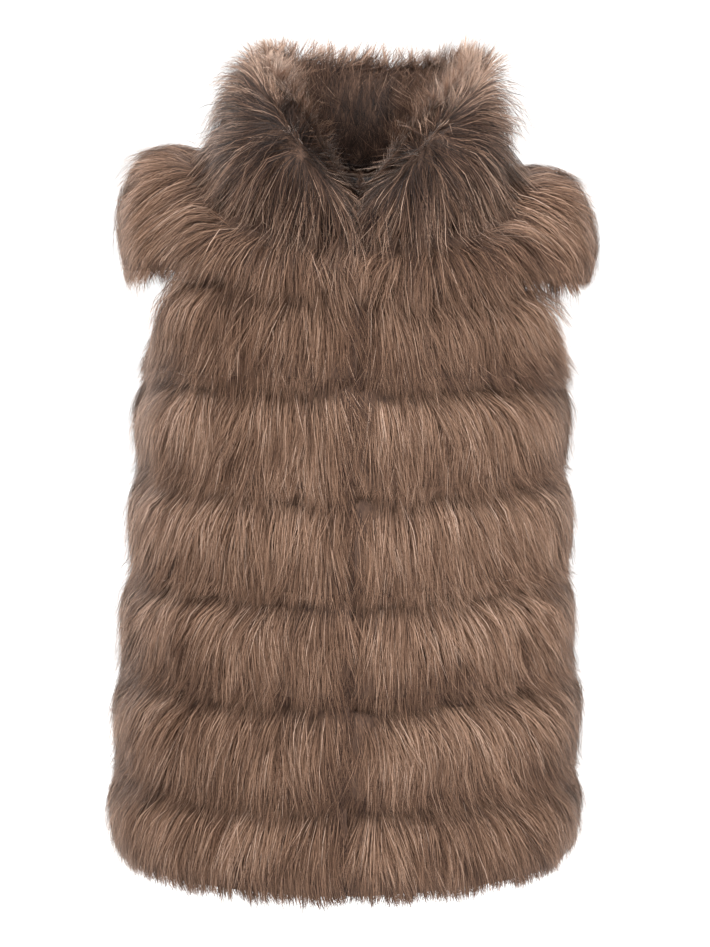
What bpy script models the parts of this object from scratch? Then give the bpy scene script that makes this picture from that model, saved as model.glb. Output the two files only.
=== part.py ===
"""Hip-length fur vest with a rolled collar, filled out as it is worn, with nobody in it.

Metres, +Z up, the front faces -Y, and +X is the wearer's left. The origin is on the neck axis, level with the
points where the shoulder seams meet the collar, so it is where the wearer's shoulders carry the vest.

Every piece is a wall between two matching grids of points. A grid's rows are sections that stand in planes round
the neck axis. A plane's azimuth is 0 at the front, 90 at the side and 180 at the back, and is negative on the
wearer's right. In such a plane a point has a distance out from the axis and a height.
"""

import math
from collections import namedtuple

import bmesh
import bpy
from mathutils import Vector

# Gaps and walls
SEAM_GAP = 0.0003
CLOSING_ANGLE = 0.25  # degrees that each front stays off the middle, a gap of 1 mm between their edges
SEAM_ANGLE = 0.05  # degrees that a panel stays off a side or shoulder seam, a gap of 0.3 mm
LINING_WALL = 0.001
LINING_EASE = 0.0022  # how far inside the fur's back the lining hangs
LABEL_WALL = 0.0008
FUR_CLEARANCE = 0.001  # between fur and the fur that it lies on
TUCKED_FUR = 0.006  # fur that the collar presses flat

# How finely the sections are spaced
FRONT_STEPS = 8  # from the middle of the front to the side seam or armhole, and as many on each half of the back
CAP_STEPS = 4  # from the armhole's corner to the shoulder seam

# The body of the vest: a rounded box in plan at each height, measured to the back of the fur
BodyLevel = namedtuple("BodyLevel", "height half_width front_depth back_depth")
BODY_LEVELS = (
    BodyLevel(-0.620, 0.187, 0.124, 0.116),
    BodyLevel(-0.531, 0.187, 0.120, 0.114),
    BodyLevel(-0.438, 0.181, 0.113, 0.104),
    BodyLevel(-0.347, 0.174, 0.109, 0.096),
    BodyLevel(-0.256, 0.168, 0.114, 0.100),
    BodyLevel(-0.168, 0.162, 0.117, 0.104),
    BodyLevel(-0.080, 0.157, 0.108, 0.098),
)
PLAN_SQUARENESS = 2.6  # 2 is an ellipse

# Bands of fur, each sewn on by its top edge. Its tips hang past the seam below and hide it. A seam's height is at
# the side, and it dips towards the front and the back. Swell is what the fur gains at the armhole's edge.
Band = namedtuple("Band", "name seam dip overhang lip bulge swell")
BANDS = (
    Band("chest", -0.080, 0.003, 0.027, 0.018, 0.024, 0.45),
    Band("bust", -0.168, 0.001, 0.027, 0.020, 0.030, 0.0),
    Band("midriff", -0.256, 0.012, 0.027, 0.020, 0.030, 0.0),
    Band("waist", -0.347, 0.014, 0.027, 0.020, 0.030, 0.0),
    Band("hip", -0.438, 0.015, 0.027, 0.021, 0.031, 0.0),
    Band("hem", -0.531, 0.012, 0.027, 0.021, 0.030, 0.0),
)
LOWER_EDGE = Band("lower_edge", -0.612, 0.012, 0.034, 0.014, 0.0, 0.0)

# A band's section. Along the fur's back and under its tips: share of the lip out, and of the overhang down.
UNDER_LIP = ((0.55, 0.62), (0.92, 1.0))
# Over the outside: share of the bulge out, and of the way from the tips above to the band's own tips down.
OVER_BAND = ((0.82, 0.10), (0.97, 0.25), (1.0, 0.42), (0.97, 0.58), (0.91, 0.75), (0.83, 0.90))
BACK_POINTS = (0.5, 0.85)

# Locks that stand out make the bands uneven: waves round the body, their share of the bulge, and a turn per band
LOCK_WAVES = ((4, 0.05, 1.3), (7, 0.04, 2.1))

# The armhole, in degrees from the middle of the front or back, and the shoulder's end
ARMHOLE_AZIMUTH = 68
ARMHOLE_STRAIGHT = 0.006  # below the tips of the shoulder fur its edge starts to curve
SHOULDER_OUT = 0.188
SHOULDER_HEIGHT = -0.028

# The neck, yoke and collar in planes round the neck axis. Out is from the axis.
#   neck: the neckline; turn: the yoke's bend, as shares of the way from the neckline to its edge
#   cover: share of the yoke under the collar; crest and belly: fur on the yoke's edge and past it
#   ridge: the collar's top edge; roll: how far out the collar rolls; inside: fur on its neck side
NeckSection = namedtuple(
    "NeckSection",
    "azimuth neck_out neck_height turn_out turn_down cover crest belly ridge_out ridge_height roll_out inside",
)
NECK_SECTIONS = (
    NeckSection(0, 0.092, -0.045, 0.95, 0.25, 0.95, 0.020, 0.026, 0.109, -0.032, 0.142, 0.006),
    NeckSection(15, 0.089, -0.039, 0.92, 0.25, 0.95, 0.020, 0.026, 0.110, 0.000, 0.146, 0.009),
    NeckSection(30, 0.080, -0.026, 0.85, 0.28, 0.93, 0.021, 0.027, 0.109, 0.034, 0.146, 0.014),
    NeckSection(60, 0.074, -0.008, 0.68, 0.32, 0.80, 0.025, 0.030, 0.100, 0.069, 0.133, 0.020),
    NeckSection(90, 0.072, 0.000, 0.55, 0.30, 0.50, 0.023, 0.034, 0.094, 0.088, 0.120, 0.020),
    NeckSection(120, 0.070, -0.005, 0.68, 0.32, 0.54, 0.026, 0.031, 0.092, 0.086, 0.122, 0.020),
    NeckSection(150, 0.066, -0.014, 0.85, 0.28, 0.55, 0.026, 0.030, 0.092, 0.081, 0.128, 0.019),
    NeckSection(180, 0.062, -0.020, 0.92, 0.25, 0.55, 0.025, 0.029, 0.091, 0.079, 0.130, 0.018),
)
CAP_LIP = 0.025  # how far out the shoulder fur's tips hang past the shoulder's end
CAP_DROP = 0.083  # and how far down
CAP_ROUNDNESS = 0.55  # 1 makes the shoulder's end pointed seen from the side, and less makes it round
# Past the yoke's edge: shares of the belly out and of the drop down, and a rounded tip like a lip's
OVER_CAP = ((0.88, 0.18), (1.0, 0.58))
ROUNDED_TIP = (0.97, 1.01)
CREST_BY_COLLAR = 0.95  # share of the crest that the fur has between the collar and the yoke's edge

# The collar's falling edge, its roll and its top edge
COLLAR_FOOT = (0.97, 0.65, 0.33, 0.0)  # its underside, as shares of the covered yoke
COLLAR_EDGE = 0.010
COLLAR_EDGE_AT = 0.94
ROLL_BELLY = 0.022  # the roll is this much wider below
ROLL_BELLY_UP = 0.45  # at this share of its height
ROLL_STEPS = 7
CORE_STEPS = 4
RIDGE_EDGE = 0.005  # half the thickness of the top edge
RIDGE_LIFT = 0.004
INNER_FUR = (0.45, 0.9, 1.0, 0.75)  # share of the inside fur, from the neckline up
INNER_SINK = 0.003

# Lining points as shares of the way from the neckline to the yoke's edge. The label lies on the points from the
# second to the fifth, at the back of the neck, and reaches this many degrees to each side.
LINING_SHARES = (0.03, 0.12, 0.25, 0.38, 0.52, 0.75, 0.96)
LABEL_SHARES = LINING_SHARES[1:5]
LABEL_HALF_ANGLE = 18

# How the vest hangs, a little to one side: sideways shift, and fall of the shoulders towards the wearer's left
HangLevel = namedtuple("HangLevel", "height shift tilt")
HANG_LEVELS = (
    HangLevel(-0.650, -0.005, 0.000),
    HangLevel(-0.440, -0.001, 0.000),
    HangLevel(-0.250, 0.002, 0.004),
    HangLevel(-0.120, 0.007, 0.026),
    HangLevel(0.000, 0.008, 0.056),
    HangLevel(0.090, 0.016, 0.044),
)

Finish = namedtuple("Finish", "name colour roughness")
FUR_FINISH = Finish("taupe_fur", (0.195, 0.115, 0.082, 1.0), 0.85)
COLLAR_FINISH = Finish("collar_fur", (0.165, 0.098, 0.070, 1.0), 0.85)
LINING_FINISH = Finish("black_satin", (0.012, 0.010, 0.010, 1.0), 0.40)
LABEL_FINISH = Finish("woven_label", (0.020, 0.018, 0.018, 1.0), 0.60)


def smooth_between(knots, values, at):
    """Value at a place along knots that rise: a cubic between them, level at both ends."""
    at = min(max(at, knots[0]), knots[-1])
    i = max(k for k in range(len(knots) - 1) if knots[k] <= at)

    def slope(k):
        if k in (0, len(knots) - 1):
            return 0.0
        return (values[k + 1] - values[k - 1]) / (knots[k + 1] - knots[k - 1])

    span = knots[i + 1] - knots[i]
    t = (at - knots[i]) / span
    low, high = values[i], values[i + 1]
    rise = (3 - 2 * t) * t * t
    return low + (high - low) * rise + span * t * (1 - t) * ((1 - t) * slope(i) - t * slope(i + 1))


def from_table(rows, column, at):
    """A column's value at a place along the table's first column."""
    return smooth_between([row[0] for row in rows], [getattr(row, column) for row in rows], at)


def neck(column, azimuth):
    return from_table(NECK_SECTIONS, column, abs((azimuth + 180) % 360 - 180))


def place(azimuth, out, height):
    """The point at this distance from the neck axis, as the vest hangs."""
    turn = math.radians(azimuth)
    across = out * math.sin(turn)
    shift = from_table(HANG_LEVELS, "shift", height)
    tilt = from_table(HANG_LEVELS, "tilt", height)
    return Vector((across + shift, -out * math.cos(turn), height - tilt * across))


def body_out(azimuth, height):
    """Distance from the neck axis to the back of the fur."""
    turn = math.radians(azimuth)
    depth = "front_depth" if math.cos(turn) > 0 else "back_depth"
    across = abs(math.sin(turn)) / from_table(BODY_LEVELS, "half_width", height)
    along = abs(math.cos(turn)) / from_table(BODY_LEVELS, depth, height)
    return (across**PLAN_SQUARENESS + along**PLAN_SQUARENESS) ** (-1 / PLAN_SQUARENESS)


def seam_height(band, azimuth):
    return band.seam - band.dip * math.cos(math.radians(azimuth)) ** 2


def locks(band, azimuth):
    """How much the band's locks stand out here, about 1."""
    return 1 + sum(
        share * math.sin(math.radians(waves * azimuth) + turn * BANDS.index(band))
        for waves, share, turn in LOCK_WAVES
    )


def armhole_span(height):
    """Degrees from the middle of the front or back to the armhole's edge, or to the side seam below it."""
    underarm = BANDS[1].seam
    straight = BANDS[0].seam - BANDS[0].overhang - ARMHOLE_STRAIGHT
    share = min(max((height - underarm) / (straight - underarm), 0.0), 1.0)
    side = 90 - SEAM_ANGLE
    return side - (side - ARMHOLE_AZIMUTH) * math.sqrt(1 - (1 - share) ** 2)


def front_azimuth(share, height, side):
    """Azimuth at a share of the way from the front's edge to its armhole or side seam. Side is 1 or -1."""
    return side * (CLOSING_ANGLE + (armhole_span(height) - CLOSING_ANGLE) * share)


def back_azimuth(share, height, _side):
    """Azimuth at a share of the way across the back, from the wearer's left."""
    return 180 + (2 * share - 1) * armhole_span(height)


def shares(steps):
    return [i / steps for i in range(steps + 1)]


def across(steps, side):
    """Shares of the way across a panel, in the order in which the azimuth rises."""
    return shares(steps)[::-1] if side < 0 else shares(steps)


# Bands


def band_section(band, below, azimuth_at):
    """(distance out from the body, height) along a band's back and over its outside, from its top to its tips."""
    top, bottom = seam_height(band, azimuth_at(band.seam)), seam_height(below, azimuth_at(below.seam))
    tips_above, tips = top - band.overhang, bottom - below.overhang
    bulge = band.bulge * locks(band, azimuth_at(below.seam))
    back = [
        (out * band.lip, top - down * band.overhang - FUR_CLEARANCE * (1 + 1.5 * down))
        for out, down in reversed(UNDER_LIP)
    ]
    back += [(0.0, top - SEAM_GAP)]
    back += [(0.0, top + (bottom - top) * share) for share in BACK_POINTS]
    back += [(0.0, bottom)]
    back += [(out * below.lip, bottom - down * below.overhang) for out, down in UNDER_LIP]
    outside = [(band.lip, tips_above - 4 * FUR_CLEARANCE)]
    outside += [(out * bulge, tips_above + (tips - tips_above) * down) for out, down in OVER_BAND]
    outside += [(below.lip + FUR_CLEARANCE, tips - FUR_CLEARANCE / 2)]
    return back, outside


def band_piece(name, band, below, azimuth_at, side, steps):
    """One band on one panel, with sections from edge to edge."""
    rows = ([], [])
    for share in across(steps, side):
        section = band_section(band, below, lambda height: azimuth_at(share, height, side))
        reach = share if side else abs(2 * share - 1)
        swell = 1 + band.swell * reach**4
        for row, chain, grow in zip(rows, section, (1.0, swell)):
            row.append([])
            for out, height in chain:
                azimuth = azimuth_at(share, height, side)
                row[-1].append(place(azimuth, body_out(azimuth, height) + grow * out, height))
    return wall(name, *rows, FUR_FINISH)


# Yoke: the fur over the shoulders, with caps that hang past the armholes


def cap_share(azimuth):
    """1 over the shoulder's end, falling to 0 at the armhole's corners."""
    from_side = abs(abs((azimuth + 180) % 360 - 180) - 90) / (90 - ARMHOLE_AZIMUTH)
    return math.cos(math.radians(90 * min(from_side, 1.0))) ** CAP_ROUNDNESS


def yoke_edge(azimuth):
    """Where the fur's back ends: on the seam over the chest, or on the armhole's edge over the shoulder."""
    height = seam_height(BANDS[0], azimuth)
    cap = cap_share(azimuth)
    out = body_out(azimuth, height)
    return out + (SHOULDER_OUT - out) * cap, height + (SHOULDER_HEIGHT - height) * cap


def yoke_back(azimuth, share):
    """(out, height) on the fur's back, at a share of the way from the neckline to the edge, and its normal."""
    start = Vector((neck("neck_out", azimuth), neck("neck_height", azimuth)))
    end = Vector(yoke_edge(azimuth))
    way = end - start
    turn = start + Vector((way.x * neck("turn_out", azimuth), way.y * neck("turn_down", azimuth)))
    at = start.lerp(turn, share).lerp(turn.lerp(end, share), share)
    along = turn.lerp(end, share) - start.lerp(turn, share)
    return at, Vector((-along.y, along.x)).normalized()


def yoke_shares(azimuth):
    """Shares of the way down the yoke at its section points: four under the collar and two past it."""
    cover = neck("cover", azimuth)
    return [cover * i / 3 for i in range(4)] + [(1 + cover) / 2, 1.0]


def yoke_fur(azimuth):
    """Thickness of the fur at each of the yoke's section points."""
    crest = neck("crest", azimuth)
    return [TUCKED_FUR] * 4 + [CREST_BY_COLLAR * crest, crest]


def yoke_section(azimuth):
    """(out, height) along the fur's back and over its outside, from the neckline to the tips."""
    cap = cap_share(azimuth)
    lip = BANDS[0].lip + (CAP_LIP - BANDS[0].lip) * cap
    drop = BANDS[0].overhang + (CAP_DROP - BANDS[0].overhang) * cap
    belly = neck("belly", azimuth)
    back, outside = [], []
    for share, fur in zip(yoke_shares(azimuth), yoke_fur(azimuth)):
        at, normal = yoke_back(azimuth, share)
        back.append(tuple(at))
        outside.append(tuple(at + fur * normal))
    edge_out, edge_height = back[-1]

    def hanging(height, out):
        """Out from the body below the seam, or from the shoulder's end past the armhole."""
        from_body = body_out(azimuth, height) + out
        return (edge_out + out if cap > 0.01 else from_body), height

    back += [hanging(edge_height - down * drop, out * lip) for out, down in UNDER_LIP + (ROUNDED_TIP,)]
    outside += [hanging(edge_height - down * drop, out * belly) for out, down in OVER_CAP]
    outside += [hanging(edge_height - drop - FUR_CLEARANCE / 2, lip + FUR_CLEARANCE)]
    return back, outside


def half_azimuths():
    """Azimuths of the sections from the middle of the front to the middle of the back, on the wearer's left."""
    front = [front_azimuth(share, BANDS[0].seam, 1) for share in shares(FRONT_STEPS)]
    cap = [ARMHOLE_AZIMUTH + (90 - ARMHOLE_AZIMUTH) * share for share in shares(CAP_STEPS)[1:]]
    ahead = front + cap
    return ahead + [180 - azimuth for azimuth in reversed(cap[:-1])] + back_half()


def back_half():
    corner = 180 - ARMHOLE_AZIMUTH
    return [corner + ARMHOLE_AZIMUTH * share for share in shares(FRONT_STEPS)]


def yoke_piece(name, azimuths):
    rows = ([], [])
    for azimuth in azimuths:
        for row, chain in zip(rows, yoke_section(azimuth)):
            row.append([place(azimuth, out, height) for out, height in chain])
    return wall(name, *rows, FUR_FINISH)


def off_the_seam(azimuth):
    """The azimuth, moved off the shoulder seam if it lies on it."""
    return azimuth - SEAM_ANGLE if azimuth == 90 else azimuth


# Collar: an outer layer that stands, rolls over and falls, and an inner one towards the neck


def cubic(start, leave, arrive, end, share):
    rest = 1 - share
    return (
        start * rest**3
        + leave * (3 * rest * rest * share)
        + arrive * (3 * rest * share * share)
        + end * share**3
    )


def collar_foot(azimuth):
    """(out, height) of the underside of the falling layer, from its edge in to the neckline."""
    cover = neck("cover", azimuth)
    foot = []
    for share in COLLAR_FOOT:
        at, normal = yoke_back(azimuth, share * cover)
        foot.append(at + (TUCKED_FUR + FUR_CLEARANCE) * normal)
    return foot


def collar_core(azimuth):
    """(out, height) between the two layers, from the neckline up to the ridge."""
    base = collar_foot(azimuth)[-1]
    ridge = Vector((neck("ridge_out", azimuth), neck("ridge_height", azimuth)))
    return [base.lerp(ridge, share) for share in shares(CORE_STEPS)]


def collar_outer_section(azimuth):
    foot, core = collar_foot(azimuth), collar_core(azimuth)
    ridge = core[-1] + Vector((RIDGE_EDGE, 0.0))
    edge, normal = yoke_back(azimuth, COLLAR_EDGE_AT * neck("cover", azimuth))
    edge = edge + (TUCKED_FUR + COLLAR_EDGE) * normal
    roll = neck("roll_out", azimuth)
    leave = Vector((roll, ridge.y + RIDGE_LIFT))
    arrive = Vector((roll + ROLL_BELLY, edge.y + ROLL_BELLY_UP * (ridge.y - edge.y)))
    outside = [cubic(edge, arrive, leave, ridge, share) for share in shares(ROLL_STEPS)]
    return foot + core[1:], outside


def collar_inner_section(azimuth):
    gap = Vector((FUR_CLEARANCE, 0.0))
    core = [point - gap for point in collar_core(azimuth)]
    inside = neck("inside", azimuth)
    fur = [point - Vector((share * inside, INNER_SINK)) for point, share in zip(core, INNER_FUR)]
    fur.append(core[-1] - Vector((RIDGE_EDGE, 0.0)))
    return core, fur


def all_round(half):
    """The half's azimuths, carried on over the other half."""
    return half + [360 - azimuth for azimuth in reversed(half[:-1])]


def collar_piece(name, section):
    rows = ([], [])
    for azimuth in all_round(half_azimuths()):
        for row, chain in zip(rows, section(azimuth)):
            row.append([place(azimuth, *point) for point in chain])
    return wall(name, *rows, COLLAR_FINISH)


# Lining and label


def lining_heights(azimuth_at):
    """Heights of the lining's points, level with those on the backs of the bands, from the yoke down to the hem."""
    heights = []
    for band, below in zip(BANDS, BANDS[1:] + (LOWER_EDGE,)):
        top, bottom = seam_height(band, azimuth_at(band.seam)), seam_height(below, azimuth_at(below.seam))
        heights.append(top - SEAM_GAP)
        heights += [top + (bottom - top) * share for share in BACK_POINTS]
    return heights + [seam_height(LOWER_EDGE, azimuth_at(LOWER_EDGE.seam))]


def lining_piece(name, azimuth_at, side, steps):
    """The lining of one panel, from the yoke down to the hem."""
    rows = ([], [])
    for share in across(steps, side):
        heights = lining_heights(lambda height: azimuth_at(share, height, side))
        for row, inset in zip(rows, (LINING_EASE + LINING_WALL, LINING_EASE)):
            row.append([])
            for height in heights:
                azimuth = azimuth_at(share, height, side)
                row[-1].append(place(azimuth, body_out(azimuth, height) - inset, height))
    return wall(name, *rows, LINING_FINISH, even=True)


def inside_yoke(name, azimuths, down_yoke, inset, thickness, finish):
    """A thin piece on the inside of the yoke, made from the yoke's own points."""
    rows = ([], [])
    for azimuth in azimuths:
        for row, depth in zip(rows, (inset + thickness, inset)):
            row.append([])
            for share in down_yoke:
                at, normal = yoke_back(azimuth, share)
                row[-1].append(place(azimuth, *(at - depth * normal)))
    return wall(name, *rows, finish, even=True)


# Making objects


def material(finish):
    found = bpy.data.materials.get(finish.name)
    if found:
        return found
    made = bpy.data.materials.new(finish.name)
    made.use_nodes = True
    shader = made.node_tree.nodes["Principled BSDF"]
    shader.inputs["Base Color"].default_value = finish.colour
    shader.inputs["Roughness"].default_value = finish.roughness
    shader.inputs["Metallic"].default_value = 0.0
    made.diffuse_color = finish.colour
    return made


def wall(name, inner_rows, outer_rows, finish, even=False):
    """A closed wall between two matching grids of points, of even thickness or not.

    Facing walls split their quads alike, so the gap between them holds.
    """
    bm = bmesh.new()
    inner, outer = ([[bm.verts.new(point) for point in row] for row in rows] for rows in (inner_rows, outer_rows))
    rows, columns = len(inner), len(inner[0])

    def strip(first, second):
        """Two triangles a quad, split from the first line's upper point to the second line's lower one."""
        for i in range(len(first) - 1):
            up, down = (i, i + 1) if first[i].co.z > first[i + 1].co.z else (i + 1, i)
            bm.faces.new((first[up], first[down], second[down]))
            bm.faces.new((first[up], second[down], second[up]))

    for grid in (inner, outer):
        for i in range(rows - 1):
            strip(grid[i], grid[i + 1])
    for end in (0, rows - 1):
        if even:
            strip(inner[end], outer[end])
        else:
            bm.faces.new(inner[end] + outer[end][::-1])
    for edge in (0, columns - 1):
        strip([row[edge] for row in inner], [row[edge] for row in outer])
    bm.normal_update()
    bmesh.ops.triangulate(bm, faces=bm.faces, ngon_method="EAR_CLIP")
    bmesh.ops.recalc_face_normals(bm, faces=bm.faces)
    mesh = bpy.data.meshes.new(name)
    bm.to_mesh(mesh)
    bm.free()
    mesh.shade_smooth()
    mesh.set_sharp_from_angle(angle=math.radians(50))
    mesh.materials.append(material(finish))
    return bpy.data.objects.new(name, mesh)


def body_pieces():
    """Each band on the two fronts and the back, with the lining behind it."""
    panels = (
        ("left_front", front_azimuth, 1, FRONT_STEPS),
        ("right_front", front_azimuth, -1, FRONT_STEPS),
        ("back", back_azimuth, 0, 2 * FRONT_STEPS),
    )
    for panel, azimuth_at, side, steps in panels:
        for band, below in zip(BANDS, BANDS[1:] + (LOWER_EDGE,)):
            yield band_piece(f"{band.name}_band_{panel}", band, below, azimuth_at, side, steps)
        yield lining_piece(f"lining_{panel}", azimuth_at, side, steps)


def yoke_pieces():
    half = half_azimuths()
    front = [off_the_seam(azimuth) for azimuth in half if azimuth <= 90]
    behind = [180 - off_the_seam(180 - azimuth) for azimuth in half if azimuth >= 90]
    yield yoke_piece("yoke_left_front", front)
    yield yoke_piece("yoke_right_front", [-azimuth for azimuth in reversed(front)])
    yield yoke_piece("yoke_back", all_round(behind))


def neck_pieces():
    yield collar_piece("collar_outer", collar_outer_section)
    yield collar_piece("collar_inner", collar_inner_section)
    inset = LINING_EASE
    around = all_round(half_azimuths())
    yield inside_yoke("lining_yoke", around, LINING_SHARES, inset, LINING_WALL, LINING_FINISH)
    inset += LINING_WALL + SEAM_GAP
    behind = [azimuth for azimuth in around if abs(azimuth - 180) < LABEL_HALF_ANGLE]
    yield inside_yoke("neck_label", behind, LABEL_SHARES, inset, LABEL_WALL, LABEL_FINISH)


def main():
    for found in list(bpy.data.objects):
        bpy.data.objects.remove(found)
    vest = bpy.data.collections.new("fur_vest")
    bpy.context.scene.collection.children.link(vest)
    carrier = bpy.data.objects.new("vest_on_shoulders", None)
    vest.objects.link(carrier)
    for pieces in (body_pieces(), yoke_pieces(), neck_pieces()):
        for piece in pieces:
            vest.objects.link(piece)
            piece.parent = carrier


main()
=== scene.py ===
"""Looks of the fur vest: skins, underfur, hair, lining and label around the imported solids.

Each solid of fur becomes a thin skin against the lining or the other collar layer, a dense underfur
inside the solid's form, and hairs that grow out of it as tapered ribbons. Lengths are in metres and
angles in radians, but azimuths are in degrees round the neck axis, from the front towards the wearer's
left. Tones run from 0, dark, to 1, light. The front faces -Y, the wearer's left is +X, and left and
right are always the wearer's. A pair of heights, distances or azimuths is where a change begins and
where it is complete.
"""
import math
from collections import namedtuple

import bpy
import numpy as np
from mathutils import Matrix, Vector
from mathutils.bvhtree import BVHTree


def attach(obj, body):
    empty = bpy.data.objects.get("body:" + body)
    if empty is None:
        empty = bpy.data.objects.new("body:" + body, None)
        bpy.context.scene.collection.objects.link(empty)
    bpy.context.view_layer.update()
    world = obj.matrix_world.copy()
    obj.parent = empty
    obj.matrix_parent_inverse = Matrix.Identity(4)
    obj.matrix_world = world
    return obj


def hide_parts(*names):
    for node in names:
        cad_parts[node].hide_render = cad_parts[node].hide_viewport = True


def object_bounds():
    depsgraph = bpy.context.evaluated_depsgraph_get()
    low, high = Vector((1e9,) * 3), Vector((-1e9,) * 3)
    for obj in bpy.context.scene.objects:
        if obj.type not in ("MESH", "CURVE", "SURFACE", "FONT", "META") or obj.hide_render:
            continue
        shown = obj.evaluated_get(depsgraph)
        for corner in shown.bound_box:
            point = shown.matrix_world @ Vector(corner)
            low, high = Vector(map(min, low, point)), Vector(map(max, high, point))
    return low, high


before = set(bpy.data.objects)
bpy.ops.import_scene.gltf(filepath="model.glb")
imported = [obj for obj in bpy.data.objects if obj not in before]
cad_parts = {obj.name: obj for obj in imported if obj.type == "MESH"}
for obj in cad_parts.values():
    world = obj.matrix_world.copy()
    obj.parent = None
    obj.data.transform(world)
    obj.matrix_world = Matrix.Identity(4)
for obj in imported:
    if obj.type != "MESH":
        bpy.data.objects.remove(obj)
cad_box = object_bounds()

SEED = 20
UP = np.array((0.0, 0.0, 1.0))

# Nodes of the solids
BANDS = ("chest", "bust", "midriff", "waist", "hip", "hem")
PANELS = ("left_front", "right_front", "back")
YOKES = [f"yoke_{panel}" for panel in PANELS]
LININGS = [f"lining_{part}" for part in PANELS + ("yoke",)]
LABEL = "neck_label"
OTHER_LAYER = {"collar_outer": "collar_inner", "collar_inner": "collar_outer"}
FUR_NODES = [f"{band}_band_{panel}" for band in BANDS for panel in PANELS] + YOKES + list(OTHER_LAYER)

# Fur of each kind: hairs per square metre, length, share of the fall that is straight down, wander in
# radians, depth of the roots under the solid's face, how far the tips reach past its low edge, how
# much the locks differ in direction, lightness against the middle, and points along a hair. The inner
# collar's low lightness is painted shade of the hollow of the neck.
Fur = namedtuple("Fur", "density length droop wander depth overhang ruffle tone points")
FURS = {
    "band": Fur(285000, 0.050, 0.50, 0.16, 0.012, 0.026, 1.0, 0.08, 3),
    "yoke": Fur(220000, 0.054, 0.12, 0.14, 0.012, 0.036, 0.8, 0.05, 4),
    "collar_outer": Fur(142000, 0.056, 0.15, 0.20, 0.013, 0.075, 1.2, 0.0, 4),
    "collar_inner": Fur(230000, 0.034, 0.0, 0.60, 0.010, 0.0, 4.0, -0.44, 4),
}

# Smooth random fields over space, each with its seed and wavelength.
Field = namedtuple("Field", "seed wavelength")
BUNDLE_FIELDS = [Field(SEED + axis, 0.03) for axis in range(3)]
TURN_FIELD = Field(SEED + 11, 0.09)
FINE_TURN_FIELD = Field(SEED + 12, 0.025)
FINE_TURN_SHARE = 0.5
TONE_FIELD = Field(SEED + 13, 0.07)
PAST_FIELD = Field(SEED + 14, 0.05)
TIER_FIELD = Field(SEED + 15, 0.08)
CROWN_FIELDS = [Field(SEED + 21 + axis, 0.035) for axis in range(3)]
WAVE_COUNT = 10
WAVE_PITCHES = (0.7, 1.5)
WAVE_SPREAD = 1.6

# Tips past a low edge: the least share of the reach, how much the reach varies along the edge, and the
# reach at the hem and at the caps. The left cap's reach goes with the distance from the middle.
SHORTEST_PAST = {"band": 0.05, "yoke": 0.25, "collar_outer": 0.15}
PAST_WAVE = 0.60
HEM_OVERHANG = 0.015
RIGHT_CAP_OVERHANG = 0.030
LEFT_CAP_DISTANCES = (0.10, 0.15, 0.182, 0.208)
LEFT_CAP_OVERHANGS = (0.040, 0.050, 0.042, 0.004)

# Caps: this far from the middle the yoke's tips lie lower, more so where it faces up, and strays stand
# off less. The right cap is lightened with painted light, the left cap darkened with painted shade.
CAP_FROM = (0.10, 0.15)
CAP_LOWER = 0.006
CAP_TOP_LOWER = 0.006
CAP_STRAY_SHARE = 0.6
RIGHT_CAP_PAINTED_LIGHT = 0.03
LEFT_CAP_PAINTED_SHADE = -0.06

# Under the left cap, the end of the chest band stands out a little.
CHEST_SIDE_OUT = 0.012
CHEST_SIDE_FROM = (0.12, 0.165)
CHEST_SIDE_HEIGHTS = (-0.19, -0.15)

# Painted shade: bands and yoke are darkened below the collar as its painted shadow, most of all in the
# middle, and darkened again low down, where the lamps' light falls off. Each band is darkened with
# painted shade towards its low edge, by height over that edge, along a line that wanders.
SHADE = 0.13
SHADE_HEIGHTS = (-0.26, -0.10)
SHADE_HALF_WIDTHS = (0.10, 0.16)
LOW_SHADE = 0.07
LOW_SHADE_HEIGHTS = (-0.46, -0.34)
TIER_SHADE = 0.19
TIER_SHADE_HEIGHTS = (0.018, 0.072)
TIER_SHADE_WAVE = 0.010

# Turn of the bands' hair away from the middle, on the two sides of the front and on the back.
LEFT_SWEEP = 0.34
RIGHT_SWEEP = 0.16
BACK_SWEEP = 0.16
SWEEP_REACH = 0.15
SWEEP_POWER = 0.5

# Where the fronts meet, hair leans in over a shallow valley, darkened with painted shade. The line
# slants between a low and a high end, and under the hair the two fronts lap a little.
CLOSING_HEIGHTS = (-0.66, -0.10)
CLOSING_XS = (-0.0045, 0.0072)
CLOSING_EDGE = 0.005
CLOSING_LAP = 0.0035
CLOSING_REACH = 0.030
CLOSING_TURN = 0.45
CLOSING_SINK = 0.009
CLOSING_PAINTED_SHADE = 0.24

# Next to the collar the yoke's hair rises to meet it, less so over the shoulders, where the lowest hair
# of the collar falls free over the yoke.
YOKE_RISE = 0.018
YOKE_RISE_REACH = 0.030
SHOULDER_AZIMUTHS = (50, 75, 105, 130)
SHOULDER_LOWER = 0.6
SHOULDER_FALL = 0.9
SHOULDER_FALL_HEIGHTS = (0.026, 0.040)

# Outer collar: longer hair at the front, more contrast, and tips drawn in at the sides and the back.
COLLAR_FRONT_LONGER = 0.4
COLLAR_FRONT_AZIMUTHS = (90, 125)
COLLAR_CONTRAST = 1.7
COLLAR_IN = 0.009
COLLAR_IN_AZIMUTHS = (45, 75)

# Inner collar: some tips stand off, hair low down at the front is short, and the painted shade of the
# neck's hollow is lifted with painted light at the front and sides and near the top, so the back of the
# neck stays darkest.
INNER_LOFT = 0.008
INNER_LOW_HEIGHTS = (-0.020, 0.012)
INNER_LOW_AZIMUTHS = (35, 70)
INNER_LOW_LENGTH = 0.35
INNER_SIDE_PAINTED_LIGHT = 0.34
INNER_SIDE_AZIMUTHS = (105, 150)
INNER_HIGH_PAINTED_LIGHT = 0.34
INNER_HIGH_HEIGHTS = (0.020, 0.060)

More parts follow.
